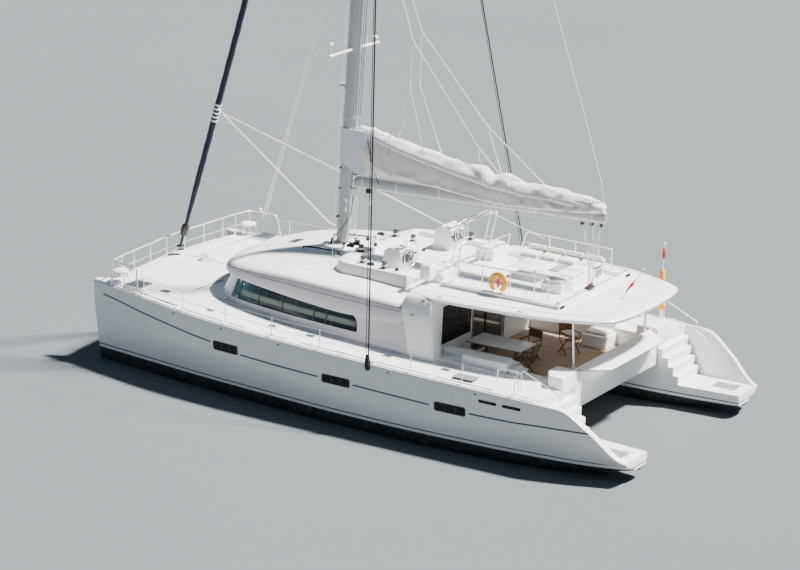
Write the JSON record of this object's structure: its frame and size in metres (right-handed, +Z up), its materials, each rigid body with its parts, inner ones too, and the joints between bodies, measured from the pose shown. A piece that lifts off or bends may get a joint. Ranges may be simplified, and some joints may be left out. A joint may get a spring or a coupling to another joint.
{
  "type": "sailing catamaran",
  "caption": "Flybridge sailing catamaran afloat, mainsail stowed on its boom and headsail furled, with saloon, cockpit and flybridge.",
  "frame": {"origin": "on the waterline, amidships, on the centreline", "axes": "+X forward to the bows, +Y to port, +Z up along the mast"},
  "size_m": [18.89, 10, 34.3],
  "materials": {
    "gelcoat": "white gelcoat, satin gloss",
    "band_grey": "pale grey gelcoat",
    "glass": "dark tinted",
    "interior": "satin",
    "dark_trim": "satin",
    "antifouling": "matt antifouling paint",
    "bronze": "worn bronze",
    "steel": "polished",
    "mast_grey": "painted grey",
    "canvas": "woven",
    "sail_navy": "woven",
    "stay_black": "black cover",
    "life_orange": "satin",
    "cushion": "woven"
  },
  "bodies": {
    "root": {"hull_port": "gelcoat", "hull_starboard": "gelcoat", "keel_port": "antifouling", "keel_starboard": "antifouling", "shaft_bracket_port": "bronze", "shaft_bracket_starboard": "bronze", "bridgedeck": "gelcoat", "foredeck": "gelcoat", "aft_coaming": "gelcoat", "cockpit_bench": "gelcoat", "deckhouse_wall": "band_grey", "window_band": "glass", "coachroof": "gelcoat", "saloon_bulkhead": "gelcoat", "fixed_door_pane": "glass", "saloon_furniture": "interior", "hardtop": "gelcoat", "wing_port": "gelcoat", "wing_starboard": "gelcoat", "post_port": "steel", "post_starboard": "steel", "cockpit_settee": "gelcoat", "cockpit_table": "interior", "flybridge_plinth": "gelcoat", "helm_console_port": "gelcoat", "helm_console_starboard": "gelcoat", "helm_seat_port": "gelcoat", "helm_seat_starboard": "gelcoat", "flybridge_lounge": "cushion", "guard_rail_port": "steel", "guard_rail_starboard": "steel", "bimini_frame": "steel", "lifebuoy": "life_orange", "front_rail": "steel", "lifeline_port": "steel", "lifeline_starboard": "steel", "hatch_frame_port": "dark_trim", "hatch_frame_starboard": "dark_trim", "mast": "mast_grey", "mast_step": "steel", "furled_headsail": "sail_navy", "furler_drum": "steel", "chainplate_port": "steel", "chainplate_starboard": "steel", "shroud_port": "stay_black", "shroud_starboard": "stay_black"},
    "boom": {"boom": "mast_grey", "sail_bag": "canvas"},
    "rudder_port": {"rudder_port": "antifouling"},
    "rudder_starboard": {"rudder_starboard": "antifouling"},
    "propeller_port": {"propeller_port": "bronze"},
    "propeller_starboard": {"propeller_starboard": "bronze"},
    "wheel_port": {"wheel_port": "steel"},
    "wheel_starboard": {"wheel_starboard": "steel"},
    "saloon_door": {"sliding_door": "glass"},
    "bow_hatch_port": {"hatch_lid_port": "glass"},
    "bow_hatch_starboard": {"hatch_lid_starboard": "glass"}
  },
  "joints": [
    {"name": "boom_swing", "type": "hinge", "parent": "root", "child": "boom", "pos_m": [2.43, 0, 6.05], "axis": [0, 0, 1], "range_deg": [-45, 45]},
    {"name": "rudder_turn_port", "type": "hinge", "parent": "root", "child": "rudder_port", "pos_m": [-7.5, 3.8, -0.45], "axis": [0, 0, 1], "range_deg": [-35, 35]},
    {"name": "rudder_turn_starboard", "type": "hinge", "parent": "root", "child": "rudder_starboard", "pos_m": [-7.5, -3.8, -0.45], "axis": [0, 0, 1], "range_deg": [-35, 35]},
    {"name": "wheel_turn_port", "type": "hinge", "parent": "root", "child": "wheel_port", "pos_m": [-0.545, 1.55, 4.6], "axis": [1, 0, 0], "range_deg": [-280, 280]},
    {"name": "wheel_turn_starboard", "type": "hinge", "parent": "root", "child": "wheel_starboard", "pos_m": [-0.545, -1.55, 4.6], "axis": [1, 0, 0], "range_deg": [-280, 280]},
    {"name": "propeller_spin_port", "type": "hinge", "parent": "root", "child": "propeller_port", "pos_m": [-6.56, 3.8, -0.68], "axis": [0.9848, 0, 0.1736], "continuous": true},
    {"name": "propeller_spin_starboard", "type": "hinge", "parent": "root", "child": "propeller_starboard", "pos_m": [-6.56, -3.8, -0.68], "axis": [0.9848, 0, 0.1736], "continuous": true},
    {"name": "saloon_door_slide", "type": "slide", "parent": "root", "child": "saloon_door", "axis": [0, 1, 0], "range_m": [0, 0.85]},
    {"name": "bow_hatch_port_lift", "type": "hinge", "parent": "root", "child": "bow_hatch_port", "pos_m": [8.19, 3.6, 2.615], "axis": [0, 1, 0], "range_deg": [0, 100]},
    {"name": "bow_hatch_starboard_lift", "type": "hinge", "parent": "root", "child": "bow_hatch_starboard", "pos_m": [8.19, -3.6, 2.615], "axis": [0, 1, 0], "range_deg": [0, 100]}
  ],
  "couplings": [
    {"joint": "rudder_turn_starboard", "follows": "rudder_turn_port", "ratio": 1},
    {"joint": "wheel_turn_port", "follows": "rudder_turn_port", "ratio": -8},
    {"joint": "wheel_turn_starboard", "follows": "rudder_turn_port", "ratio": -8}
  ]
}
